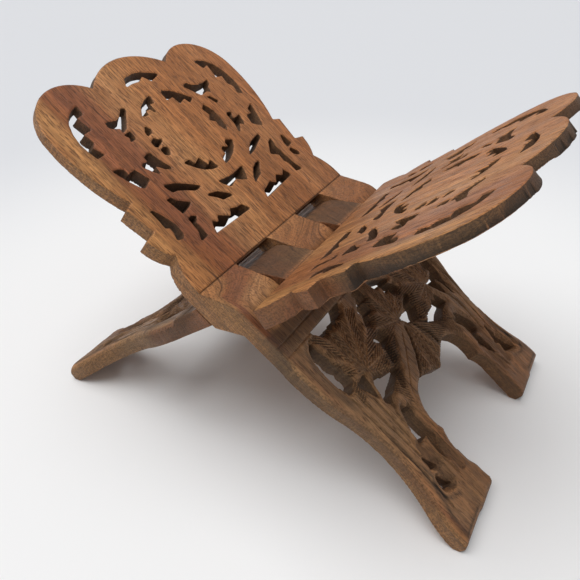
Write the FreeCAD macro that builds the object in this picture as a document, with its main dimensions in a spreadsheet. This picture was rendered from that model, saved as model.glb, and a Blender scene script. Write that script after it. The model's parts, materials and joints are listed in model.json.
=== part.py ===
import FreeCAD, Part
import math
import os
import Sketcher
from FreeCAD import Placement, Rotation, Vector

# Folding book stand made from one plank. The plank is sawn along its middle plane from both ends,
# and the uncut stretch between the saw kerfs is carved into five knuckles that hook through each
# other, so two leaves turn about one axis with no pin. One leaf owns knuckles 1, 3 and 5, counted
# from the front, and the other owns knuckles 2 and 4. Each leaf has a book rest above the axis
# and a pair of feet below it.
#
# Row frame: +Z up, Y along the hinge axis, the front at -Y. The origin is on the surface that
# the stand stands on, under the middle of the hinge axis.
#
# Every shape is drawn in plank coordinates: u across the plank along the hinge axis, v along the
# plank, up from the axis towards the tip of the rest, and n through its thickness. The rest
# lies at n below 0 and the leg at n above 0.

DRIVING_SIZES = {
    "plank_width": 200.0,
    "leaf_thickness": 14.5,
    "rest_middle_thickness": 11.2,
    "rest_tip_thickness": 9.2,
    "half_kerf": 0.5,
    "slope": 37.0,
    "rest_length": 194.5,
    "leg_length": 201.5,
    "rest_shoulder": 23.2,
    "facet_top": 23.5,
    "ridge_drop": 1.0,
    "ridge_radius": 20.0,
    "under_facet_top": 2.0,
    "under_facet_end": 14.5,
    "knuckle_width": 40.0,
    "side_clearance": 0.35,
    "stop_clearance": 0.4,
    "foot_radius": 6.0,
    "sole_cut": 2.3,
}

document = FreeCAD.newDocument("book_stand")
sheet = document.addObject("Spreadsheet::Sheet", "sizes")
for row, (alias, value) in enumerate(DRIVING_SIZES.items(), start=1):
    sheet.set(f"A{row}", alias)
    sheet.set(f"B{row}", str(value))
    sheet.setAlias(f"B{row}", alias)
document.recompute()


def size(alias):
    """The value of one driving dimension, read back from the sheet."""
    return float(sheet.get(alias))


THICKNESS = size("leaf_thickness")
KERF = size("half_kerf")
SLOPE = math.radians(size("slope"))
HALF_WIDTH = size("plank_width") / 2

# The lowest corner of a foot is trimmed level, and the trimmed sole stands on the surface.
CORNER_DEPTH = size("leg_length") * math.sin(SLOPE) - KERF * math.cos(SLOPE)
AXIS_HEIGHT = CORNER_DEPTH - size("sole_cut")


# ---------------------------------------------------------------- outlines in plank coordinates


def mirrored(points):
    """The same points on the other side of the plank's middle line."""
    return [(-u, v) for u, v in points]


# One half of the plank's outline, from the tip of the rest to the middle of the arch between the
# feet. Each entry is a corner, or ("arc", a point on the way, the arc's end).
FOOT_END = -size("leg_length")
REST_OUTLINE = [
    (0.0, size("rest_length")),
    ("arc", (20.6, 190.5), (39.0, 178.6)),
    ("arc", (64.0, 189.2), (99.0, 154.0)),
    ("arc", (96.6, 123.0), (87.0, 95.5)),
    (94.5, 93.0),
    (90.5, 71.8),
    (100.5, 69.6),
    ("arc", (97.8, 59.5), (92.0, 51.0)),
    ("arc", (98.0, 39.5), (HALF_WIDTH, 24.0)),
    (HALF_WIDTH, -45.0),
]
BACK_LEG_EDGE = [
    ("arc", (98.2, -76.0), (91.5, -99.5)),
    ("arc", (88.0, -134.0), (95.5, -172.0)),
    ("arc", (99.6, -186.0), (100.5, FOOT_END)),
]
FRONT_LEG_EDGE = [
    ("arc", (98.8, -76.0), (93.3, -99.5)),
    ("arc", (90.0, -134.0), (97.3, -172.0)),
    ("arc", (101.4, -186.0), (102.4, FOOT_END)),
]
FOOT_AND_ARCH_OUTLINE = [
    (46.5, FOOT_END),
    (48.0, -168.0),
    ("arc", (47.0, -159.0), (43.3, -152.5)),
    ("arc", (41.0, -131.0), (25.0, -121.0)),
    ("arc", (12.0, -125.0), (0.0, -131.0)),
]

# The underside of the rest is hollowed in one long arc, as (v, n), so that the leaf thins from
# above its side teeth to its tip.
TAPER_START = 88.0
TAPER_MIDDLE = 130.0
TAPER = [
    (TAPER_START, -THICKNESS),
    ("arc", (TAPER_MIDDLE, -size("rest_middle_thickness")),
     (size("rest_length"), -size("rest_tip_thickness"))),
]

# Pierced work of the book rest, the same in both leaves. The toothed edges are leaf margins.
REST_PIERCINGS = [
    # two slots over the hinge
    [(-52, 47.5), (-50, 52.5), (-47.5, 55.7), (-43.5, 53), (-40, 57), (-31, 51.3), (-26, 55.7),
     (-20, 53.5), (-14.5, 53.5), (-11, 47.3)],
    [(12, 46), (14, 51.5), (26.5, 54.8), (31, 51), (37.5, 56.2), (43.5, 52.7), (48.5, 56.3),
     (51.8, 49.2)],
    # leaves and a crescent under the medallion
    [(-33, 72), (-31, 73), (-23, 71), (-16, 65.5), (-12.3, 60), (-15, 62.5), (-25, 63.7),
     (-27.5, 67.5)],
    [(36, 73), (30, 73), (23.5, 70.5), (17, 65), (13.5, 60), (17, 61.5), (26, 64), (29, 68)],
    [(-15, 76.7), (0, 75.2), (16, 76.9), (13.2, 71), (9.5, 66), (5, 68), (0.5, 71), (-4, 69.5),
     (-8.5, 68.2), (-12.3, 72)],
    [(-57, 93.8), (-55, 94.5), (-48, 92), (-40, 87.5), (-31, 81), (-33.5, 80), (-38.5, 80),
     (-45, 84), (-51, 86.7), (-55, 87)],
    [(31.5, 80.2), (37, 84.8), (43.5, 88.8), (50, 90.4), (58.5, 91.4), (57.5, 88), (50, 85.5),
     (42, 82.3)],
    # toothed crescents round the medallion
    [(-27, 100.3), (-25, 101.3), (-20.5, 101), (-19, 96.3), (-12, 99.2), (-10, 90.8), (-5, 93.5),
     (-3, 85.5), (-10, 86.5), (-16, 89), (-21, 93)],
    [(5, 84.8), (6.8, 89.8), (12.5, 91.2), (13, 96), (15.3, 97.3), (20.5, 95), (21, 99),
     (24, 100.8), (30, 98), (26, 93.5), (20, 89.5), (12, 86)],
    [(-34.5, 117), (-31, 118.5), (-27.5, 117.5), (-27, 115.5), (-31, 110.5), (-34.5, 112.5)],
    [(-36, 121), (-35.5, 125.5), (-31, 127.5), (-29, 125), (-25, 123.5), (-29, 121.5),
     (-34.5, 119.5)],
    [(-34, 130), (-32.5, 134.5), (-29, 138), (-26.5, 133.5), (-28.5, 131.3)],
    [(35.2, 134), (29.8, 130.6), (31.5, 124.3), (27, 120), (31.5, 117.3), (30.5, 112.5),
     (33.5, 106), (36.5, 109.5), (38.6, 118), (38.5, 126)],
    [(-24, 145), (-17.5, 152.3), (-10, 156), (-2.2, 158), (-4.5, 151), (-8.8, 151.5),
     (-9.4, 144.2), (-11, 144.2), (-13, 148), (-16.7, 148), (-17.7, 144.2)],
    [(8.2, 149), (9, 156.8), (11.3, 157.6), (18, 154.8), (25, 149), (31.4, 142.3),
     (25.2, 139.8), (23.3, 144.6), (16, 142.4), (15, 149.7)],
    # crescents in the three lobes
    [(-14, 170.3), (-9, 177.5), (1, 178.7), (8, 177.8), (16, 174.5), (23, 171.2), (10.5, 167.8),
     (6.5, 174), (0.5, 171), (-7, 171.4)],
    [(-62, 171), (-67, 169.3), (-73, 166), (-78, 160.5), (-81.5, 153), (-83, 145), (-82.7, 138),
     (-81.3, 131.5), (-74, 131.7), (-77.8, 139.3), (-73.3, 142.8), (-75, 150.3), (-67.3, 151.3),
     (-69.3, 162.5), (-62.5, 164)],
    [(65.3, 169.8), (69, 170.2), (75.5, 167.3), (81.5, 161.5), (85.3, 153), (86.7, 143),
     (85.5, 134), (83, 127.8), (78, 130), (80.5, 136.5), (77, 141.5), (79, 149), (72, 150.3),
     (74.8, 163), (68.3, 161.7)],
    # leaves beside the medallion
    [(-55, 148), (-54, 152), (-45, 150.3), (-41.5, 151), (-34, 157), (-30, 156), (-34, 151.5),
     (-43, 142), (-49, 140), (-47.5, 143.5), (-53.5, 146.2)],
    [(-49.5, 138.5), (-42.5, 139), (-43.5, 132.3), (-49.5, 131.8), (-47.5, 135)],
    [(33, 153.5), (34.5, 155), (38.5, 155.7), (42, 152), (48, 150.3), (54, 150.3), (61.3, 151.5),
     (58.5, 147), (55, 145.5), (53, 139.8), (50.5, 142.5), (41.5, 141.3), (36, 149)],
    [(44.5, 138.5), (48.5, 137.3), (52.3, 130.8), (48, 130.2), (46.5, 134)],
    [(-58, 113.3), (-56, 114.6), (-51, 114.3), (-51, 118), (-47, 119.3), (-44, 119.3),
     (-41.5, 109.5), (-38.8, 103.5), (-40, 101), (-45, 104.5), (-49, 109), (-50.5, 102),
     (-53.5, 105), (-57, 110.5)],
    [(47, 118.3), (49.5, 119.3), (54, 118), (50, 115), (50.5, 112.2), (59, 113.2), (56.5, 107.5),
     (54.5, 103.5), (51, 106.5), (45, 101), (42.5, 100.5), (46, 108)],
    [(-80, 119.6), (-74.5, 118.8), (-71.3, 116.5), (-72, 112.6), (-65, 113.5), (-61.2, 102.8),
     (-70, 99), (-72.8, 101.8), (-76.3, 109)],
    [(80.2, 116.8), (72.3, 113.8), (71.5, 109.2), (65.3, 109.6), (62.3, 101.5), (66.5, 98.3),
     (70.8, 95.2), (75, 103)],
    # leaves along the side edges
    [(-64, 85), (-59.5, 85), (-57.5, 81), (-49.3, 75), (-53, 73), (-62, 71.2), (-63, 79)],
    [(-62, 66.5), (-58, 67), (-54.2, 65), (-59, 61.5), (-59.5, 49.8), (-67.5, 49.2), (-63, 56)],
    [(66, 82.6), (60.5, 81.5), (51.5, 72.2), (58.5, 68), (57.5, 61.5), (60, 58), (60, 49),
     (68, 48), (65, 56), (64, 66), (63.5, 75)],
    [(-81.3, 84.3), (-79, 83.8), (-75.5, 76), (-73.2, 67), (-74.2, 60), (-77, 57.6),
     (-82, 58.8), (-79.3, 64.5), (-79.2, 68.3), (-82, 69.6), (-81.4, 76)],
    [(79, 81), (80.8, 80), (82.2, 70), (74.5, 69.2), (75, 74), (77, 78)],
    [(73, 66), (77, 67.5), (80.5, 61), (80, 58), (76.5, 59.5), (73.5, 62)],
]

# Pierced work of the legs, between three toothed leaves, the vine stems and the narrow blades
# that rise from the feet. The front half lies at u below 0.
TOP_GAP = [(71, -42.5), (31, -43), (34, -47), (37.5, -50), (41, -50), (43, -49.5), (46, -52),
           (49.5, -49.7), (52.5, -52.5), (56, -49.5), (59.5, -51), (64, -50), (66.5, -46.3)]
STEM_GAP = [(50.5, -123.5), (55, -122.5), (56.5, -118), (60, -120.5), (63, -126), (66.5, -134),
            (68, -143.5), (59.5, -143.5), (61.5, -149), (62.5, -157), (60.5, -166), (57.5, -160),
            (53.5, -149.5), (54.5, -140), (54.5, -131)]
BACK_LEG_PIERCINGS = [
    TOP_GAP,
    STEM_GAP,
    # round the back leaf
    [(6.5, -50), (14, -52.5), (22, -57), (28.5, -59.5), (24, -62), (27.5, -65), (30.5, -69.5),
     (25.5, -73.5), (19, -71), (18.5, -68), (20.5, -66), (15, -66), (14.5, -58.5), (9, -57.5)],
    [(5.5, -85.5), (12.5, -85.5), (18, -86.5), (17, -83.5), (23, -80.5), (27, -79), (30, -77),
     (34.5, -80), (29, -84.5), (28.5, -87.5), (30.5, -89.5), (25.5, -95), (24.5, -98.5),
     (19, -97), (14, -94.5), (8.5, -91.5)],
    [(28, -105), (32, -102.3), (38, -101.5), (44, -101.5), (49, -98), (51, -99), (53, -102),
     (54.5, -98), (57, -97), (59, -102.5), (61.5, -108.5), (53, -109.5), (49, -111),
     (43.5, -113.5), (37, -110.5), (30.5, -107)],
    # along the edge, with the tip of a blade standing up into it
    [(73, -46), (80, -51), (83.5, -58), (84.5, -68), (83.5, -82), (83, -88), (80.5, -96),
     (78.5, -104), (76.3, -113), (75, -100), (73.7, -92), (72.3, -90.5), (71, -93),
     (70.5, -106), (66, -100), (59, -87.5), (67, -88), (74.5, -84.5), (73, -80.5),
     (71.5, -78), (75, -70), (74, -62), (75, -54)],
    # in the foot
    [(75, -143.5), (76.5, -153), (80, -163), (86.5, -179), (81, -176.5), (75, -174.5),
     (71, -171.5), (72.8, -165), (70.2, -161.5), (72.5, -154), (73.8, -148)],
]
FRONT_LEG_PIERCINGS = [
    mirrored(TOP_GAP),
    mirrored(STEM_GAP),
    # round the front leaf
    [(-9, -46.5), (-4.5, -48.5), (-5.5, -57.5), (-10, -57.5), (-10, -65), (-13, -66),
     (-17, -65), (-17.5, -70), (-23, -72), (-27, -69), (-24, -65), (-21, -62), (-23, -59),
     (-18, -55), (-14, -51), (-16, -48)],
    [(-31, -78.5), (-26, -80), (-19, -79.5), (-17, -83), (-16, -86.5), (-20, -88), (-27, -90),
     (-29, -86), (-27, -84), (-30, -82)],
    [(-60.5, -96.5), (-57, -93), (-50, -95.5), (-48, -98), (-45, -97), (-42, -101), (-38, -101),
     (-33, -102), (-30, -105), (-38, -107), (-47, -108.5), (-50, -110), (-56, -110),
     (-62, -114.5), (-65, -109), (-63, -104)],
    [(-71.5, -87.5), (-60.5, -86.5), (-63.3, -96), (-66, -104.5), (-68.5, -99), (-70.5, -92)],
    # along the edge
    [(-74, -45.5), (-79, -50), (-82.5, -57), (-84.5, -66), (-84.5, -76), (-83, -87),
     (-77.5, -87.5), (-75, -85), (-71.5, -84), (-71, -80), (-72, -76), (-70.5, -74),
     (-73, -70), (-74, -66), (-73.5, -62), (-75, -57), (-76, -51)],
    # in the foot
    [(-77.5, -147.5), (-75, -149), (-69, -161.5), (-78, -157.5)],
    [(-79.5, -163), (-77.5, -163), (-71, -176), (-81.5, -171.3)],
]


def full_outline():
    """The whole outline as a closed run: down the back half, and up the front half."""
    back = REST_OUTLINE + BACK_LEG_EDGE + FOOT_AND_ARCH_OUTLINE
    front = REST_OUTLINE + FRONT_LEG_EDGE + FOOT_AND_ARCH_OUTLINE
    run = list(back)
    for before, entry in reversed(list(zip(front, front[1:]))):
        end = mirrored([before if before[0] != "arc" else before[2]])[0]
        if entry[0] == "arc":
            run.append(("arc", mirrored([entry[1]])[0], end))
        else:
            run.append(end)
    return run


def rounded_corner(before, corner, after, radius):
    """An arc that rounds a corner, as its first point and an ("arc", middle, end) entry."""
    here = Vector(*corner, 0)
    back = (Vector(*before, 0) - here).normalize()
    ahead = (Vector(*after, 0) - here).normalize()
    half_angle = back.getAngle(ahead) / 2
    reach = radius / math.tan(half_angle)
    centre = here + (back + ahead).normalize() * (radius / math.sin(half_angle))
    start = here + back * reach
    end = here + ahead * reach
    middle = centre + (here - centre).normalize() * radius
    return [(start.x, start.y), ("arc", (middle.x, middle.y), (end.x, end.y))]


def side_profile():
    """The leaf seen along the hinge axis, as (v, n): rest, knuckle, leg and foot."""
    rest_end = size("rest_length")
    facet_top = (size("facet_top"), -KERF)
    ridge = (-size("ridge_drop"), THICKNESS)
    foot_corner = (FOOT_END, THICKNESS)
    sole_on_end = (-AXIS_HEIGHT - FOOT_END * math.sin(SLOPE)) / math.cos(SLOPE)
    sole_on_face = (-AXIS_HEIGHT - KERF * math.cos(SLOPE)) / math.sin(SLOPE)
    return [
        (rest_end, -KERF),
        facet_top,
        *rounded_corner(facet_top, ridge, foot_corner, size("ridge_radius")),
        *rounded_corner(ridge, foot_corner, (FOOT_END, sole_on_end), size("foot_radius")),
        (FOOT_END, sole_on_end),
        (sole_on_face, KERF),
        (-size("under_facet_end"), KERF),
        (size("under_facet_top"), -THICKNESS),
        *TAPER,
        (rest_end, -KERF),
    ]


def knuckle_gap():
    """What is cut away where the other leaf has its knuckle, as (v, n).

    The rest ends square. The leg ends on a bevel that lies flat against the other leaf's rest
    when the stand is open, and stops it there.
    """
    top = size("rest_shoulder")
    beyond = 2 * THICKNESS
    stop = THICKNESS + size("stop_clearance")

    def bevel(n):
        return (-stop - n * math.cos(2 * SLOPE)) / math.sin(2 * SLOPE)

    return [(top, -beyond), (bevel(-beyond), -beyond), (bevel(beyond), beyond), (top, beyond),
            (top, -beyond)]


# ------------------------------------------------------------------------------ FreeCAD helpers


def origin_plane(body, role):
    """One of the body's own origin planes."""
    return next(plane for plane in body.Origin.OriginFeatures if plane.Role == role)


def add_run(sketch, run, place):
    """Adds one closed run of lines and arcs. place turns a plank point into a sketch point."""
    here = run[0]
    for entry in run[1:]:
        if entry[0] == "arc":
            middle, end = entry[1], entry[2]
            sketch.addGeometry(Part.Arc(place(here), place(middle), place(end)))
        else:
            end = entry
            sketch.addGeometry(Part.LineSegment(place(here), place(end)))
        here = end


def add_sketch(body, name, role, runs, place):
    """A sketch on one of the body's origin planes."""
    sketch = body.newObject("Sketcher::SketchObject", name)
    sketch.AttachmentSupport = [(origin_plane(body, role), "")]
    sketch.MapMode = "FlatFace"
    for run in runs:
        add_run(sketch, run, place)
    return sketch


def add_feature(body, kind, name, sketch, length):
    """A pad or pocket to both sides of its sketch, its whole length bound to the sheet."""
    feature = body.newObject("PartDesign::" + kind, name)
    feature.Profile = sketch
    feature.SideType = "Symmetric"
    feature.setExpression("Length", length)
    document.recompute()
    return feature


def closed(points):
    """The points with the first repeated at the end."""
    return [*points, points[0]]


# -------------------------------------------------------------------------------- the two leaves

# The blank is a little wider than the finished plank, and the surround is the waste wood round
# the outline. Both cuts through the plank go deeper than both faces.
BLANK_WIDTH = "sizes.plank_width * 1.1"
RIGHT_THROUGH = "sizes.leaf_thickness * 4"
WASTE = 3 * HALF_WIDTH
SURROUND = closed([(-WASTE, -WASTE), (WASTE, -WASTE), (WASTE, WASTE), (-WASTE, WASTE)])

# The gaps for the other leaf's knuckles. A gap at the plank's edge is twice as wide and runs off
# the edge, so its middle lies on the edge.
INNER_GAP = "sizes.knuckle_width + sizes.side_clearance"
EDGE_GAP = "sizes.knuckle_width * 2 + sizes.side_clearance"
TWO_INNER_GAPS = [
    ("sizes.knuckle_width", INNER_GAP),
    ("-sizes.knuckle_width", INNER_GAP),
]
MIDDLE_AND_EDGE_GAPS = [
    ("0", INNER_GAP),
    ("sizes.knuckle_width * 5 / 2", EDGE_GAP),
    ("-sizes.knuckle_width * 5 / 2", EDGE_GAP),
]


def make_leaf(label, side, gaps):
    """One leaf. side is +1 where its rest points to +X and -1 where it points to -X.

    gaps lists where the other leaf's knuckles pass: the expression of the gap's middle along the
    hinge axis, and of its width.
    """
    body = document.addObject("PartDesign::Body", label)
    body.Label = label

    def from_side(point):
        return Vector(side * point[0], point[1], 0)

    def from_above(point):
        return Vector(side * point[1], point[0], 0)

    profile = add_sketch(body, label + "_profile", "XZ_Plane", [side_profile()], from_side)
    add_feature(body, "Pad", label + "_board", profile, BLANK_WIDTH)

    for number, (middle, width) in enumerate(gaps, start=1):
        gap = add_sketch(body, f"{label}_gap_{number}", "XZ_Plane", [knuckle_gap()], from_side)
        gap.setExpression("AttachmentOffset.Base.z", middle)
        add_feature(body, "Pocket", f"{label}_gap_cut_{number}", gap, width)

    outline_runs = [SURROUND, full_outline()]
    outline = add_sketch(body, label + "_outline", "XY_Plane", outline_runs, from_above)
    add_feature(body, "Pocket", label + "_outline_cut", outline, RIGHT_THROUGH)

    rest_runs = [closed(points) for points in REST_PIERCINGS]
    rest = add_sketch(body, label + "_rest_piercings", "XY_Plane", rest_runs, from_above)
    add_feature(body, "Pocket", label + "_rest_cut", rest, RIGHT_THROUGH)

    leg_runs = [closed(points) for points in BACK_LEG_PIERCINGS + FRONT_LEG_PIERCINGS]
    leg = add_sketch(body, label + "_leg_piercings", "XY_Plane", leg_runs, from_above)
    add_feature(body, "Pocket", label + "_leg_cut", leg, RIGHT_THROUGH)

    body.Placement = Placement(Vector(0, 0, AXIS_HEIGHT), Rotation(Vector(0, 1, 0), 0))
    body.setExpression("Placement.Rotation.Angle", f"{-side} * sizes.slope * 1 deg")
    document.recompute()
    return body


leaves = [
    make_leaf("three_knuckle_leaf", -1, TWO_INNER_GAPS),
    make_leaf("two_knuckle_leaf", 1, MIDDLE_AND_EDGE_GAPS),
]

for thing in document.Objects:
    if "Invalid" in thing.State or "Error" in thing.State:
        raise RuntimeError(f"{thing.Name} failed: {thing.State}")

os.makedirs("parts", exist_ok=True)
for leaf in leaves:
    shape = leaf.Shape
    if shape.isNull() or not shape.isValid() or len(shape.Solids) != 1:
        raise RuntimeError(f"{leaf.Label} is not one valid solid: {len(shape.Solids)} solids")
    shape.exportStep(f"parts/{leaf.Label}.step")
    box = shape.BoundBox
    print(leaf.Label, "volume", round(shape.Volume), "faces", len(shape.Faces))
    print("  from", [round(value, 2) for value in (box.XMin, box.YMin, box.ZMin)])
    print("  to  ", [round(value, 2) for value in (box.XMax, box.YMax, box.ZMax)])
print("hinge axis height", round(AXIS_HEIGHT, 3))
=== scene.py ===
import json
import math

import bmesh
import bpy
import numpy as np
from mathutils import Matrix, Vector


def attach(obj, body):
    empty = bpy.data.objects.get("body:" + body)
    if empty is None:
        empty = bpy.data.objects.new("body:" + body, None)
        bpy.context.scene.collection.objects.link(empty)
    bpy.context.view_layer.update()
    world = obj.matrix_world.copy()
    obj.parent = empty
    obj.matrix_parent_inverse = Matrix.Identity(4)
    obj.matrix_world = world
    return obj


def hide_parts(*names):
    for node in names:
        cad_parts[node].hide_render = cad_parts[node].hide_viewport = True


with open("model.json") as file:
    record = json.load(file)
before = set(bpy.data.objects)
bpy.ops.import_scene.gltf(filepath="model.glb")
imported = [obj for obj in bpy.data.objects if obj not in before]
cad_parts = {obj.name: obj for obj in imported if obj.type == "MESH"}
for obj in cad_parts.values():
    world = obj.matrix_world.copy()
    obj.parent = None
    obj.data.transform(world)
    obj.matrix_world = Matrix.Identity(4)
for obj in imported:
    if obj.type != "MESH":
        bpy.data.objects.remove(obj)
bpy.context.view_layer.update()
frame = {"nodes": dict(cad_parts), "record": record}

# Plank coordinates, in millimetres: u across the plank along the hinge axis, v along the plank,
# up from the axis towards the tip of the rest, and n through its thickness. The reading face of a
# rest looks towards +n, and so does the outer face of a leg.
MM = 0.001
RECORD = frame["record"]
HINGE = Vector(RECORD["behaviour"]["joints"][0]["pos_m"])
FACE_NORMAL = next(m["axis"] for m in RECORD["mounts"] if m["name"] == "right_reading_face")
SLOPE = math.atan2(-FACE_NORMAL[0], FACE_NORMAL[2])
THICKNESS = 14.5  # of one leaf
TAPER_AT = (88.0, 130.0, 194.5)  # v on a rest, and how thick the rest is there
TAPER = (THICKNESS, 11.2, 9.2)
SCORE_LINE = 23.5  # v where the saw kerf ends on a rest
LEG_LINES = (-34.0, -42.5)  # v of the lines cut across the top of a leg
REST_LINES = (34.0, 42.5)  # and across the hidden side of a rest
LEG_LAYER = 7.0  # how far into the wood the carving of a leg stretches it
REST_LAYER = 4.0
MOST_LEG_RELIEF = 6.0
MOST_REST_RELIEF = 2.6
HOLE_NARROWING = 1.3  # how far a wall of a rest's hole leans in at its hidden side
EDGE_REACH = 8.0  # how far from a sawn wall its rounding and dirt can reach

VOXEL = 0.6
MOST_TRIANGLES = 190000


# ------------------------------------------------------------------------------ small mathematics


def smoothstep(low, high, value):
    """0 below low, 1 above high, and a smooth rise between them. low may be the larger."""
    t = np.clip((value - low) / (high - low), 0.0, 1.0)
    return t * t * (3.0 - 2.0 * t)


class Noise:
    """Smooth noise from -1 to 1 on a repeating lattice of random numbers."""

    SIZE = 64

    def __init__(self, seed):
        self.table = np.random.default_rng(seed).uniform(-1.0, 1.0, (self.SIZE,) * 3)

    def __call__(self, x, y, z):
        point = np.stack([x, y, z])
        cell = np.floor(point).astype(int)
        t = point - cell
        t = t * t * (3.0 - 2.0 * t)
        total = 0.0
        for corner in np.ndindex(2, 2, 2):
            offset = np.array(corner)[:, None]
            weight = np.prod(np.where(offset == 1, t, 1.0 - t), axis=0)
            index = (cell + offset) % self.SIZE
            total = total + weight * self.table[index[0], index[1], index[2]]
        return total


def line_distance(u, v, points):
    """How far each plank point is from a run of straight lines."""
    nearest = np.full(u.shape, 1e9)
    for (u0, v0), (u1, v1) in zip(points, points[1:]):
        du, dv = u1 - u0, v1 - v0
        t = np.clip(((u - u0) * du + (v - v0) * dv) / (du * du + dv * dv), 0.0, 1.0)
        nearest = np.minimum(nearest, np.hypot(u - u0 - t * du, v - v0 - t * dv))
    return nearest


def mirrored(points):
    return [(-u, v) for u, v in points]


def mirrored_leaf(leaf):
    base, tips = leaf
    return mirrored([base])[0], mirrored(tips)


def edge_distance(u, v, wall_u, wall_v, reach):
    """How far each plank point is from the nearest sawn wall, up to reach, read from a grid."""
    cell = 0.5
    low_u, low_v = -110.0, -215.0  # the grid holds the whole plank
    shape = (int(220 / cell), int(420 / cell))
    near = np.full(shape, reach * reach / cell / cell)
    at_u = ((wall_u - low_u) / cell).astype(int)
    at_v = ((wall_v - low_v) / cell).astype(int)
    near[at_u, at_v] = 0.0
    steps = range(-int(reach / cell), int(reach / cell) + 1)
    for axis in (0, 1):
        near = np.min([np.roll(near, step, axis) + step * step for step in steps], axis=0)
    grid_u = (u - low_u) / cell - 0.5
    grid_v = (v - low_v) / cell - 0.5
    i, j = np.floor(grid_u).astype(int), np.floor(grid_v).astype(int)
    fu, fv = grid_u - i, grid_v - j
    near = np.sqrt(near) * cell
    return ((near[i, j] * (1 - fu) + near[i + 1, j] * fu) * (1 - fv)
            + (near[i, j + 1] * (1 - fu) + near[i + 1, j + 1] * fu) * fv)


# --------------------------------------------------------------------------------- relief carving

# Carved leaves of the leg: where each grows from, and the tips of its lobes. The front half lies
# at u below 0.
CENTRE_LEAF = ((2, -86), [(-25, -75), (-15, -64), (-4, -48), (13, -55), (21, -68), (33, -78)])
FAN_LEAF = ((5, -90), [(-23, -118), (-12, -126), (2, -130), (13, -122)])
BACK_LEAF = ((58, -87), [(28, -104), (25, -92), (29, -68), (34, -50), (50, -44), (66, -46),
                         (74, -62), (74, -82)])
LEG_LEAVES = [CENTRE_LEAF, FAN_LEAF, BACK_LEAF, mirrored_leaf(BACK_LEAF)]

# The smooth stem that crosses between the centre leaf and the fan, and half its width.
STEM = [(-6, -92), (-17, -103), (-28, -112), (-39, -126), (-43, -142)]
STEM_REACH = 7.0

# Gouge cuts as (width, depth, run of points): the grooves between stems, and the valleys beside
# the narrow blades of the feet.
BORDER_GROOVE = [(75, -45), (81, -52), (85, -62), (85.5, -90), (85, -120), (85.5, -150),
                 (88, -176), (92, -190)]
BACK_GOUGES = [
    (2.6, 1.5, BORDER_GROOVE),
    (3.2, 2.2, [(10, -92), (14, -102), (17, -110), (17, -118)]),
    (3.0, 1.6, [(12, -92), (22, -102), (28, -106)]),
    (2.0, 1.2, [(79.5, -100), (79, -114), (78, -130), (76.5, -144)]),
    (2.4, 1.4, [(61, -90), (68, -104), (70.5, -116), (70, -134), (69.5, -146)]),
    (2.4, 1.4, [(46, -116), (52, -122), (55, -130)]),
    (9.0, 2.2, [(66, -144), (66.5, -160), (66, -176)]),
    (2.2, 1.6, [(56, -157), (58, -168), (60, -179)]),
    (2.0, 1.2, [(63.5, -150), (64, -162), (63, -178)]),
    (7.0, 1.6, [(51, -150), (53, -164), (54, -176)]),
]
FRONT_GOUGES = [
    (2.6, 1.5, mirrored(BORDER_GROOVE)),
    (3.0, 2.2, [(1, -92), (-2, -98), (-10, -109), (-21, -118), (-30, -127)]),
    (1.6, 0.6, [(-6, -92), (-16, -101), (-28, -110), (-38, -117), (-46, -128)]),
    (8.0, 3.4, [(-21, -81), (-26, -90), (-30, -98)]),
    (4.5, 2.8, [(-31, -101), (-37, -107), (-43, -113)]),
    (2.0, 1.4, [(-79.6, -89), (-79, -110), (-78, -130), (-77.8, -147)]),
    (2.0, 1.2, [(-71, -94), (-71.5, -110), (-73, -130), (-75, -147)]),
    (2.4, 1.4, [(-61, -113), (-66, -118), (-68, -128), (-67, -140)]),
    (10.0, 2.6, [(-71, -143), (-71, -158), (-74, -172)]),
    (2.2, 1.4, [(-65, -141), (-64.5, -158), (-63.5, -174)]),
    (7.0, 2.2, [(-57, -143), (-56.5, -160), (-57, -174)]),
    (2.0, 1.0, [(-52, -122), (-50, -132), (-49.5, -150), (-51, -166)]),
]

# The hidden side of the rest: a rosette inside the pierced ring, and leaves round it.
ROSETTE = (0, 122)
ROSETTE_PETALS = 12
SIDE_LEAF = ((52, 122), [(78, 104), (60, 98), (44, 100), (42, 140), (60, 148), (78, 130)])
CORNER_LEAF = ((70, 60), [(56, 84), (80, 86), (56, 66), (84, 66)])
REST_LEAVES = [
    ((0, 104), [(-24, 96), (-20, 80), (0, 78), (20, 80), (24, 96)]),
    ((0, 160), [(-36, 166), (-14, 158), (14, 158), (36, 166), (0, 172)]),
    SIDE_LEAF,
    mirrored_leaf(SIDE_LEAF),
    CORNER_LEAF,
    mirrored_leaf(CORNER_LEAF),
]


def leaf_veins(u, v, leaves):
    """The depth of the vein cuts: a midrib to each lobe's tip, and side veins that leave it."""
    depth = np.zeros(u.shape)
    for (base_u, base_v), tips in leaves:
        du, dv = u - base_u, v - base_v
        best = np.full(u.shape, 9.0)
        here = np.zeros(u.shape)
        for tip_u, tip_v in tips:
            length = math.hypot(tip_u - base_u, tip_v - base_v)
            along = (du * (tip_u - base_u) + dv * (tip_v - base_v)) / length
            across = np.abs(du * (tip_v - base_v) - dv * (tip_u - base_u)) / length
            slant = across / np.maximum(along, 0.5)
            reach = smoothstep(length + 4.0, length, along) * smoothstep(1.2, 0.9, slant)
            rib = 1.1 * np.clip(1.0 - across / 1.3, 0.0, 1.0) * smoothstep(length, 0.4 * length, along)
            phase = (along - 1.5 * across) / 3.2
            side = np.abs(phase - np.floor(phase) - 0.5) * 2.0
            veins = 1.30 * smoothstep(0.35, 1.0, side) * smoothstep(0.3, 2.0, across)
            fold = 0.9 * smoothstep(0.0, 6.0, across) * (along > 0)
            closer = (slant < best) & (along > 0)
            here = np.where(closer, np.maximum(rib, veins + fold * 0.5) * reach, here)
            best = np.where(closer, slant, best)
        depth = np.maximum(depth, here)
    return depth


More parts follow.
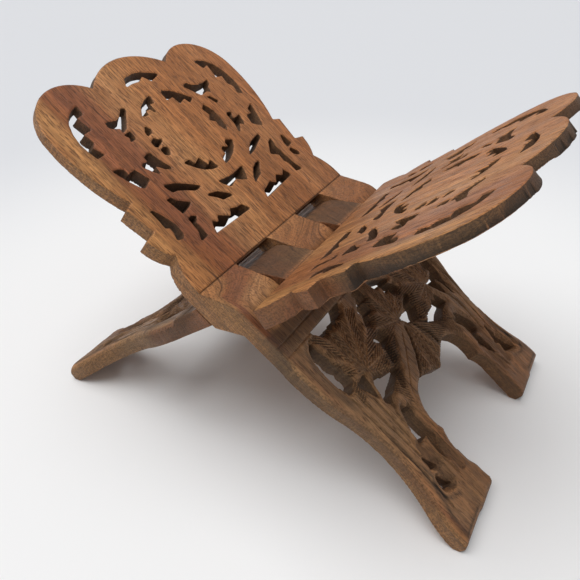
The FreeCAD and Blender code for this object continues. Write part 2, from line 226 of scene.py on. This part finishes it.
def leg_veins(u, v):
    """The depth of the vein cuts on a leg, which leave its stem plain."""
    plain = smoothstep(STEM_REACH + 1.0, STEM_REACH - 1.0, line_distance(u, v, STEM))
    return leaf_veins(u, v, LEG_LEAVES) * (1.0 - plain)


def gouge_depth(u, v, gouges):
    """The depth of the rounded gouge cuts."""
    depth = np.zeros(u.shape)
    for width, most, points in gouges:
        share = np.clip(1.0 - line_distance(u, v, points) / (0.5 * width), 0.0, 1.0)
        depth = np.maximum(depth, most * share * (2.0 - share))
    return depth


def border_share(u, v):
    """1 on the plain border along the outside of a leg, and 0 on the carving."""
    return smoothstep(-44.0, -50.0, v) * smoothstep(86.0, 90.0, np.abs(u) + 0.16 * np.abs(v + 100))


def leg_relief(u, v, edge, noise):
    """How deep the outer face of a leg is carved, in millimetres."""
    carved = smoothstep(-43.0, -45.5, v) * smoothstep(87.0, 84.5, np.abs(u))
    foot = smoothstep(-176.0, -186.0, v)
    rounding = 1.5 * (1.0 - smoothstep(0.0, 3.5, edge)) * carved * (1.0 - foot)
    gouges = gouge_depth(u, v, BACK_GOUGES + FRONT_GOUGES) * (1.0 - foot)
    veins = leg_veins(u, v) * carved
    lines = [0.9 * np.clip(1.0 - np.abs(v - line) / 0.8, 0.0, 1.0) for line in LEG_LINES]
    tool = 0.16 * noise(u / 1.6, v / 3.2, 0.0 * u) * carved + 0.10 * noise(u / 5, v / 9, 0.0 * u)
    wear = 0.5 * (1.0 - smoothstep(0.0, 1.6, edge))
    away = np.clip(1.0 - edge / EDGE_REACH, 0.0, 1.0)
    wear = wear + 4.0 * border_share(u, v) * (1.0 - np.sqrt(1.0 - away * away))
    return 0.5 * carved * (1.0 - foot) + rounding + gouges + veins + sum(lines) + tool + 0.2 + wear


def rest_relief(u, v, edge, noise):
    """How deep the hidden side of a rest is carved, in millimetres."""
    carved = smoothstep(46.0, 49.0, v) * smoothstep(3.0, 7.0, 194.0 - v)
    radius = np.hypot(u - ROSETTE[0], v - ROSETTE[1])
    angle = np.arctan2(v - ROSETTE[1], u - ROSETTE[0])
    petal = np.abs(np.sin(angle * ROSETTE_PETALS / 2))
    petals = 1.3 * (1.0 - smoothstep(0.0, 0.45, petal)) * smoothstep(21.0, 16.0, radius)
    petals *= smoothstep(4.0, 6.0, radius)
    rings = [1.1 * np.clip(1.0 - np.abs(radius - r) / 1.2, 0.0, 1.0) for r in (5.0, 22.0)]
    rounding = 1.3 * (1.0 - smoothstep(0.0, 4.0, edge)) * carved
    veins = 0.7 * leaf_veins(u, v, REST_LEAVES) * (radius > 24.0) * carved
    lines = [0.8 * np.clip(1.0 - np.abs(v - line) / 0.8, 0.0, 1.0) for line in REST_LINES]
    tool = 0.12 * noise(u / 1.8, v / 3.5, 0.0 * u) * carved
    return rounding + petals + sum(rings) + veins + sum(lines) + tool + 0.2


# ------------------------------------------------------------------------------------ the wood

# The colour of the plank across its width, in millimetres from its middle: pale sapwood at the
# front edge, a reddish streak, and golden heartwood.
PLANK_COLOURS = [
    (-105, (0.49, 0.225, 0.078)),
    (-88, (0.50, 0.235, 0.082)),
    (-83, (0.42, 0.190, 0.068)),
    (-79, (0.26, 0.090, 0.034)),
    (-70, (0.29, 0.100, 0.044)),
    (-62, (0.25, 0.086, 0.036)),
    (-52, (0.29, 0.106, 0.046)),
    (-44, (0.40, 0.175, 0.070)),
    (-34, (0.50, 0.240, 0.100)),
    (-15, (0.52, 0.238, 0.088)),
    (0, (0.47, 0.198, 0.070)),
    (20, (0.47, 0.194, 0.068)),
    (35, (0.36, 0.140, 0.048)),
    (48, (0.37, 0.150, 0.054)),
    (62, (0.48, 0.208, 0.080)),
    (85, (0.40, 0.160, 0.060)),
    (105, (0.40, 0.160, 0.060)),
]
EVEN_TONE = (0.46, 0.215, 0.082, 1.0)  # what evens out the streaks of the right leaf
RED_TONE = (0.40, 0.142, 0.044, 1.0)
# The grey of the legs: their own duller wood, with the painted cool tint of the shade under the rests.
LEG_GREY_AND_SHADE_TONE = (0.26, 0.165, 0.084, 1.0)
PORE_TONE = (0.070, 0.026, 0.012, 1.0)
CRACK_TONE = (0.050, 0.018, 0.010, 1.0)
SAWN_TONE = (0.30, 0.175, 0.075, 1.0)
HINGE_WALL_TONE = (0.22, 0.072, 0.030, 1.0)
SPECK_TONE = (0.085, 0.040, 0.018, 1.0)
SAW_MARK_TONE = (0.120, 0.062, 0.030, 1.0)
END_GRAIN_TONE = (0.085, 0.038, 0.018, 1.0)
# The next two tones darken the legs, the cuts and the holes: dirt and old polish, with painted shade.
GRIME_AND_SHADE_TONE = (0.044, 0.031, 0.021, 1.0)
DEEP_GRIME_AND_SHADE_TONE = (0.011, 0.008, 0.006, 1.0)
STREAK_DRIFT = 1.25  # how far the streaks move across the plank for each millimetre of its depth


class Graph:
    """Makes shader nodes in one line each. An input is a socket, a number or a tuple."""

    def __init__(self, tree):
        self.tree = tree

    def put(self, socket, value):
        if isinstance(value, bpy.types.NodeSocket):
            self.tree.links.new(value, socket)
        else:
            socket.default_value = value

    def node(self, kind, inputs=(), **settings):
        made = self.tree.nodes.new("ShaderNode" + kind)
        for key, value in settings.items():
            setattr(made, key, value)
        for key, value in dict(inputs).items():
            self.put(made.inputs[key], value)
        return made

    def math(self, operation, *values):
        inputs = dict(enumerate(values))
        return self.node("Math", inputs, operation=operation).outputs[0]

    def fade(self, value, low, high, to_low=0.0, to_high=1.0, kind="SMOOTHSTEP"):
        """to_low below low, to_high above high, and smooth between."""
        inputs = {"Value": value, "From Min": low, "From Max": high}
        inputs |= {"To Min": to_low, "To Max": to_high}
        return self.node("MapRange", inputs, interpolation_type=kind).outputs["Result"]

    def noise(self, where, sizes, detail=2.0, roughness=0.5, seed=0.0):
        """Noise whose grains are about as large as sizes, in the units of where."""
        scale = tuple(1.0 / size for size in sizes)
        place = self.node("Mapping", {"Vector": where, "Scale": scale, "Location": (seed,) * 3})
        inputs = {"Vector": place.outputs[0], "Scale": 1.0, "Detail": detail}
        inputs |= {"Roughness": roughness}
        return self.node("TexNoise", inputs).outputs["Fac"]

    def ramp(self, value, stops):
        made = self.node("ValToRGB", {"Fac": value})
        elements = made.color_ramp.elements
        for position, colour in stops[1:-1]:
            elements.new(position)
        for element, (position, colour) in zip(elements, stops):
            element.position = position
            element.color = (*colour, 1.0)
        return made.outputs["Color"]

    def mix(self, factor, first, second, blend="MIX"):
        made = self.node("Mix", data_type="RGBA", blend_type=blend)
        self.put(made.inputs[0], factor)
        self.put(made.inputs[6], first)
        self.put(made.inputs[7], second)
        return made.outputs[2]

    def shade(self, colour, strength):
        """The colour times a grey whose value is strength."""
        grey = self.node("CombineColor", {"Red": strength, "Green": strength, "Blue": strength})
        return self.mix(1.0, colour, grey.outputs[0], "MULTIPLY")


def carved_wood(name, side):
    """Oiled carved wood whose grain runs along the plank of one leaf."""
    material = bpy.data.materials.new(name)
    material.use_nodes = True
    g = Graph(material.node_tree)
    shader = material.node_tree.nodes["Principled BSDF"]

    # Plank millimetres from the object's own coordinates.
    coordinates = g.node("TexCoord")
    place = g.node(
        "Mapping",
        {
            "Vector": coordinates.outputs["Object"],
            "Location": HINGE,
            "Rotation": (0.0, -side * SLOPE, 0.0),
            "Scale": (MM, MM, MM),
        },
        vector_type="TEXTURE",
    ).outputs[0]
    parts = g.node("SeparateXYZ", {"Vector": place}).outputs
    along = g.math("MULTIPLY", parts[0], side)
    across, depth = parts[1], g.math("MULTIPLY", parts[2], -side)

    # flat is 1 on the faces of the plank and 0 on its sawn walls.
    turn = (-side * math.sin(SLOPE), 0.0, math.cos(SLOPE))
    facing = g.node("VectorMath", {0: coordinates.outputs["Normal"], 1: turn}, operation="DOT_PRODUCT")
    grain = (side * math.cos(SLOPE), 0.0, math.sin(SLOPE))
    flat = g.fade(g.math("ABSOLUTE", facing.outputs["Value"]), 0.55, 0.93)

    # Streaks of colour that run along the plank, slant through its depth, and wander a little.
    # Deep in the plank they lie further to the front, except on the front wall.
    wander = g.noise(place, (90.0, 60.0, 60.0), 1.0)
    slanted = g.math("MULTIPLY_ADD", depth, STREAK_DRIFT, across)
    growth = g.math("MULTIPLY_ADD", g.math("SUBTRACT", wander, 0.5), 16.0, slanted)
    thinning = g.math("MULTIPLY", g.fade(depth, 2.0, THICKNESS), g.fade(across, -98.0, -94.0))
    growth = g.math("MULTIPLY_ADD", thinning, 34.0, growth)
    ragged = g.noise(place, (25.0, 1.6, 1.6), 2.0)
    edge = g.math("MULTIPLY_ADD", g.math("SUBTRACT", ragged, 0.5), 6.0, growth)
    low, high = PLANK_COLOURS[0][0], PLANK_COLOURS[-1][0]
    position = g.fade(edge, low, high, kind="LINEAR")
    stops = [((u - low) / (high - low), colour) for u, colour in PLANK_COLOURS]
    colour = g.ramp(position, stops)
    if side > 0:
        colour = g.mix(0.30, colour, EVEN_TONE)

    # The wood is darker near the hinge than far out, more so on the right leaf.
    at_hinge, far = (0.95, 1.13) if side < 0 else (0.82, 1.07)
    colour = g.shade(colour, g.fade(along, 20.0, 150.0, at_hinge, far))

    # Large, soft, redder patches.
    blotch = g.noise(place, (55.0, 24.0, 24.0), 3.0, 0.6, 11.0)
    colour = g.mix(g.fade(blotch, 0.42, 0.62, 0.0, 0.45), colour, RED_TONE)

    # The legs are greyer than the rests, most of all on their carving: partly their own duller wood,
    # partly a painted cool tint of the shade under the rests.
    legs = g.fade(along, -45.0, -25.0, 1.0, 0.0)
    carving = g.fade(along, -150.0, -125.0, 0.25, 0.55)
    colour = g.mix(g.math("MULTIPLY", legs, carving), colour, LEG_GREY_AND_SHADE_TONE)

    # Growth lines, fibres, pores and the odd dark crack, all drawn out along the grain.
    lines_at = g.node("CombineXYZ", {"X": growth, "Y": along, "Z": depth}).outputs[0]
    broad = g.noise(lines_at, (7.0, 160.0, 60.0), 3.0, 0.6)
    fine = g.noise(lines_at, (2.0, 90.0, 12.0), 4.0, 0.7, 5.0)
    cracks = g.noise(lines_at, (2.6, 70.0, 30.0), 1.0, 0.5, 7.0)
    fibres = g.noise(place, (16.0, 0.8, 0.8), 3.0, 0.7)
    pores = g.noise(place, (7.0, 0.75, 0.75), 1.0, 0.5, 9.0)
    pore = g.fade(pores, 0.54, 0.64)
    crack = g.fade(cracks, 0.68, 0.73)
    colour = g.shade(colour, g.fade(broad, 0.3, 0.7, 0.80, 1.16))
    colour = g.shade(colour, g.fade(fine, 0.3, 0.7, 0.75, 1.17))
    colour = g.shade(colour, g.fade(fibres, 0.3, 0.7, 0.80, 1.15))
    colour = g.mix(g.math("MULTIPLY", pore, 0.6), colour, PORE_TONE)
    colour = g.mix(g.math("MULTIPLY", crack, 0.5), colour, CRACK_TONE)

    # Sawn walls: open grain in specks, saw marks across the thickness, and dark end grain.
    walls = g.math("SUBTRACT", 1.0, flat)
    specks = g.noise(place, (1.5, 0.9, 0.9), 2.0, 0.6, 3.0)
    sawing = g.noise(place, (1.1, 1.1, 14.0), 2.0, 0.6, 4.0)
    speck = g.math("MULTIPLY", g.fade(specks, 0.49, 0.59), walls)
    saw = g.math("MULTIPLY", g.fade(sawing, 0.40, 0.62), walls)
    end = g.node("VectorMath", {0: coordinates.outputs["Normal"], 1: grain}, operation="DOT_PRODUCT")
    end_grain = g.fade(g.math("ABSOLUTE", end.outputs["Value"]), 0.45, 0.95)
    colour = g.mix(g.math("MULTIPLY", walls, 0.30), colour, SAWN_TONE)
    if side > 0:  # the right rest's walls near the hinge are redder
        near_hinge = g.fade(g.math("ABSOLUTE", along), 74.0, 92.0, 0.60, 0.0)
        colour = g.mix(g.math("MULTIPLY", walls, near_hinge), colour, HINGE_WALL_TONE)
    colour = g.mix(g.math("MULTIPLY", speck, 0.55), colour, SPECK_TONE)
    colour = g.mix(g.math("MULTIPLY", saw, 0.30), colour, SAW_MARK_TONE)
    colour = g.mix(g.math("MULTIPLY", end_grain, 0.55), colour, END_GRAIN_TONE)

    # The depths of the carving and of the pierced holes hold dirt and old polish, darkened further by
    # painted shade, which turns towards near black where it is heaviest.
    grime_and_shade = g.node("Attribute", attribute_name="grime_and_shade").outputs["Fac"]
    colour = g.mix(grime_and_shade, colour, GRIME_AND_SHADE_TONE)
    colour = g.mix(g.fade(grime_and_shade, 0.60, 0.90, 0.0, 0.75), colour, DEEP_GRIME_AND_SHADE_TONE)

    rough = g.fade(g.noise(place, (30.0, 9.0, 9.0), 3.0), 0.3, 0.7, 0.40, 0.58)
    height = g.math("MULTIPLY_ADD", pore, -0.8, g.math("MULTIPLY", fibres, 1.2))
    height = g.math("MULTIPLY_ADD", speck, -0.8, height)
    height = g.math("MULTIPLY_ADD", saw, -0.6, height)
    height = g.math("MULTIPLY_ADD", crack, -1.0, height)
    height = g.math("MULTIPLY_ADD", fine, 0.8, height)
    bump = g.node("Bump", {"Height": height, "Strength": 0.7, "Distance": 0.4 * MM})
    g.put(shader.inputs["Base Color"], colour)
    g.put(shader.inputs["Roughness"], g.math("MULTIPLY_ADD", grime_and_shade, 0.25, rough))
    g.put(shader.inputs["Normal"], bump.outputs[0])
    shader.inputs["Specular IOR Level"].default_value = 0.3
    return material


# ------------------------------------------------------------------------------- the leaf meshes


def new_object(name, mesh):
    thing = bpy.data.objects.new(name, mesh)
    bpy.context.scene.collection.objects.link(thing)
    return thing


def with_modifier(thing, kind, **settings):
    """The mesh of a thing after one modifier."""
    modifier = thing.modifiers.new(kind.lower(), kind)
    for key, value in settings.items():
        setattr(modifier, key, value)
    evaluated = thing.evaluated_get(bpy.context.evaluated_depsgraph_get())
    mesh = bpy.data.meshes.new_from_object(evaluated)
    thing.modifiers.clear()
    return mesh


def outline_wall(u, v, wall):
    """Which points are on the outer outline: the wall points that are furthest out."""
    row = np.round(v / 3.0).astype(int) + 80
    outermost = np.zeros(200)
    np.maximum.at(outermost, row[wall], np.abs(u[wall]))
    notches = (np.abs(u) > 84.0) & (v > 0.0) & (v < 80.0)
    return (np.abs(u) > outermost[row] - 6.0) | (np.abs(v) < 26.0) | notches


def score_line(v, up):
    """1 along the end of the saw kerf on a reading face."""
    return np.clip(1.0 - np.abs(v - SCORE_LINE - 0.3) / 0.6, 0.0, 1.0) * (up > 0.5)


def knuckle_share(v, up):
    """1 on the round ridges of the knuckles."""
    return smoothstep(24.0, 20.0, np.abs(v)) * (up > 0.3)


def carved_height(u, v, n, up, edge, noise):
    """Where the carving takes each point along n."""
    # A leg is carved on its outer face, and the walls under that face shrink with it.
    share = np.clip((n - (THICKNESS - LEG_LAYER)) / LEG_LAYER, 0.0, 1.0)
    start = smoothstep(-22.0, -27.0, v)
    depth = np.clip(leg_relief(u, v, edge, noise), 0.0, MOST_LEG_RELIEF)
    height = n - depth * share * start

    # A rest is carved on its hidden side, less deeply.
    under = np.interp(v, TAPER_AT, TAPER)
    share = np.clip((-n - (under - REST_LAYER)) / REST_LAYER, 0.0, 1.0)
    start = smoothstep(27.0, 31.0, v)
    depth = np.clip(rest_relief(u, v, edge, noise), 0.0, MOST_REST_RELIEF)
    height = height + depth * share * start

    # A reading face has worn edges and a score line.
    reading = (v > 20.0) & (up > 0.5) & (n > -3.0)
    worn = 0.5 * (1.0 - smoothstep(0.0, 1.2, edge))
    height = height - np.where(reading, worn, 0.0)
    return height - 0.9 * score_line(v, up)


def dirt_and_shade(u, v, n, up, edge, side, wall, pierced):
    """How much dirt, old polish and painted shade each point holds, from 0 to about 1."""
    # The outer face of a leg, and above all its cuts: dirt, and painted shade that is heaviest near
    # the hinge under the other leaf's rest and deep in the cuts.
    cut_dirt_and_shade = gouge_depth(u, v, BACK_GOUGES + FRONT_GOUGES) * 0.12
    cut_dirt_and_shade += 0.62 * smoothstep(0.6, 1.4, leg_veins(u, v))
    cut_dirt_and_shade += 0.45 * border_share(u, v) * np.clip(1.0 - np.abs(edge - 5.5) / 2.5, 0.0, 1.0)
    aged_and_shaded = 0.66 - 0.49 * smoothstep(-36.0, -46.0, v) + 0.20 * smoothstep(-130.0, -165.0, v)
    aged_and_shaded = aged_and_shaded * (1.0 - border_share(u, v) * (1.0 - smoothstep(0.0, 7.0, edge)))
    leg = v < -24.0
    face = leg & (up > 0.2) & (n > 5.0)
    grime_and_shade = np.where(face, aged_and_shaded + np.clip(cut_dirt_and_shade, 0.0, 0.62), 0.0)

    # The walls of the legs, with painted shade that darkens them towards the hinge, the walls of the
    # pierced holes, and the score line.
    below = np.clip((-1.0 - n) / 8.0, 0.0, 1.0)
    grime_and_shade = np.where(wall & leg, 0.14 + 0.44 * smoothstep(-120.0, -30.0, v), grime_and_shade)
    # Dirt and old polish on the walls of the pierced holes, with painted shade that darkens them
    # deeper in.
    grime_and_shade = np.where(pierced, 0.40 + 0.30 * below, grime_and_shade)
    grime_and_shade = np.maximum(grime_and_shade, 0.9 * score_line(v, up))

    # Painted shade on the outer walls of the right rest, from about v 76 out to its tip and darkest
    # towards its hidden side; and a stain on the tops of the knuckles.
    if side > 0:
        painted_wall_shade = 0.80 * smoothstep(76.0, 94.0, v) * np.clip((1.0 - n) / 4.0, 0.7, 1.0)
        grime_and_shade = np.where(wall & ~pierced, np.maximum(grime_and_shade, painted_wall_shade), grime_and_shade)
    stain = 0.18 if side < 0 else 0.66
    return np.maximum(grime_and_shade, stain * knuckle_share(v, up) * (up > 0.5))


def read_vectors(mesh, key):
    values = np.empty(len(mesh.vertices) * 3)
    mesh.vertices.foreach_get(key, values)
    return values.reshape(-1, 3)


def carve(mesh, side, seed):
    """Moves the points of a fine leaf mesh from the sawn shape to the hand-carved one."""
    place = read_vectors(mesh, "co") / MM
    facing = read_vectors(mesh, "normal")
    v, u, n = side * place[:, 0], place[:, 1], place[:, 2]
    up = facing[:, 2]
    noise = Noise(seed)
    wall = np.abs(up) < 0.35
    edge = edge_distance(u, v, u[wall], v[wall], EDGE_REACH)
    moved = place.copy()
    moved[:, 2] = carved_height(u, v, n, up, edge, noise)

    # The pierced holes of the rest narrow towards its hidden side.
    pierced = wall & ~outline_wall(u, v, wall)
    narrowing = HOLE_NARROWING * np.clip((-2.0 - n) / 9.0, 0.0, 1.0) * pierced * (v > 26.0)
    moved[:, :2] += facing[:, :2] * narrowing[:, None]

    # Rasp marks on the round ridges of the knuckles.
    chisel = 0.16 * noise(u / 2.2, v / 2.2, n / 2.2) + 0.14 * noise(u / 7, v / 5, n / 5) - 0.30
    moved += facing * (knuckle_share(v, up) * chisel)[:, None]
    mesh.vertices.foreach_set("co", (moved * MM).ravel())
    mesh.update()

    grime_and_shade = dirt_and_shade(u, v, n, up, edge, side, wall, pierced)
    attribute = mesh.attributes.new("grime_and_shade", "FLOAT", "POINT")
    attribute.data.foreach_set("value", grime_and_shade.astype(np.float32))


def carved_leaf(name, node, body, side, seed):
    """A carved leaf that stands for a CAD leaf. side is -1 for the leaf whose rest is on the left."""
    matrix = Matrix.Translation(HINGE) @ Matrix.Rotation(-side * SLOPE, 4, "Y")
    sawn = frame["nodes"][node].data.copy()
    sawn.transform(matrix.inverted())
    welded = bmesh.new()
    welded.from_mesh(sawn)
    bmesh.ops.remove_doubles(welded, verts=welded.verts, dist=MM / 1000)
    welded.to_mesh(sawn)
    welded.free()
    base = new_object(name + "_base", sawn)
    fine = with_modifier(base, "REMESH", mode="VOXEL", voxel_size=VOXEL * MM, adaptivity=0.0)
    carve(fine, side, seed)
    base.data = fine
    ratio = min(1.0, MOST_TRIANGLES / (2 * len(fine.polygons)))
    thinned = with_modifier(base, "DECIMATE", ratio=ratio, use_collapse_triangulate=True)
    thinned.shade_smooth()
    base.data = thinned
    mesh = with_modifier(base, "WEIGHTED_NORMAL", mode="FACE_AREA_WITH_ANGLE", weight=90)
    bpy.data.objects.remove(base)
    mesh.name = name
    mesh.transform(matrix)
    mesh.materials.clear()
    mesh.materials.append(carved_wood(name + "_wood", side))
    leaf = new_object(name, mesh)
    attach(leaf, body)
    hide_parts(node)


carved_leaf("left_rest_leaf", "three_knuckle_leaf", "three_knuckle_side", -1, 11)
carved_leaf("right_rest_leaf", "two_knuckle_leaf", "two_knuckle_side", 1, 23)

# ------------------------------------------------------------------------------- camera and light

scene = bpy.context.scene
camera_data = bpy.data.cameras.new("camera")
camera_data.sensor_width = 36.0
camera_data.lens = 38.0
camera_data.clip_start = 0.01
camera = bpy.data.objects.new("camera", camera_data)
scene.collection.objects.link(camera)
CAMERA_PLACE = Vector((0.184954, -0.340013, 0.229000))
CAMERA_RIGHT = Vector((0.86998, 0.49277, -0.01753))
CAMERA_UP = Vector((-0.26733, 0.50124, 0.82298))
turn = Matrix((CAMERA_RIGHT, CAMERA_UP, CAMERA_RIGHT.cross(CAMERA_UP))).transposed()
camera.matrix_world = Matrix.Translation(HINGE + CAMERA_PLACE) @ turn.to_4x4()
scene.camera = camera
scene.view_settings.view_transform = "Standard"

# A studio that glows softly, more so near the horizon.
world = bpy.data.worlds.new("studio")
scene.world = world
world.use_nodes = True
g = Graph(world.node_tree)
height = g.node("SeparateXYZ", {"Vector": g.node("TexCoord").outputs["Generated"]}).outputs[2]
glow = g.fade(height, 0.10, 0.35, 0.72, 0.30)
g.put(world.node_tree.nodes["Background"].inputs["Strength"], glow)
world.node_tree.nodes["Background"].inputs["Color"].default_value = (0.97, 0.98, 1.0, 1.0)

FLOOR_REACH = 20.0
floor_mesh = bpy.data.meshes.new("floor")
corners = [(x * FLOOR_REACH, y * FLOOR_REACH, 0) for x, y in ((-1, -1), (1, -1), (1, 1), (-1, 1))]
floor_mesh.from_pydata(corners, [], [(0, 1, 2, 3)])
floor = new_object("floor", floor_mesh)
floor_paint = bpy.data.materials.new("floor_paint")
floor_paint.use_nodes = True
paint = floor_paint.node_tree.nodes["Principled BSDF"]
paint.inputs["Roughness"].default_value = 0.7
# A painted pool of light: the floor is palest round the stand, and greyer and bluer further out.
g = Graph(floor_paint.node_tree)
away = g.node("VectorMath", {0: g.node("TexCoord").outputs["Object"]}, operation="LENGTH")
share = g.fade(away.outputs["Value"], 0.30, 0.70)
painted_light_pool = g.mix(share, (0.86, 0.86, 0.86, 1.0), (0.70, 0.71, 0.735, 1.0))
g.put(paint.inputs["Base Color"], painted_light_pool)
floor_mesh.materials.append(floor_paint)

# One very wide light from above, a little from the left and the front.
LIGHT_FROM = Vector((-0.22, -0.10, 1.0))
lamp_data = bpy.data.lights.new("lamp", "SUN")
lamp_data.energy = 2.4
lamp_data.angle = math.radians(65)
lamp = new_object("lamp", lamp_data)
lamp.rotation_euler = LIGHT_FROM.to_track_quat("Z", "Y").to_euler()
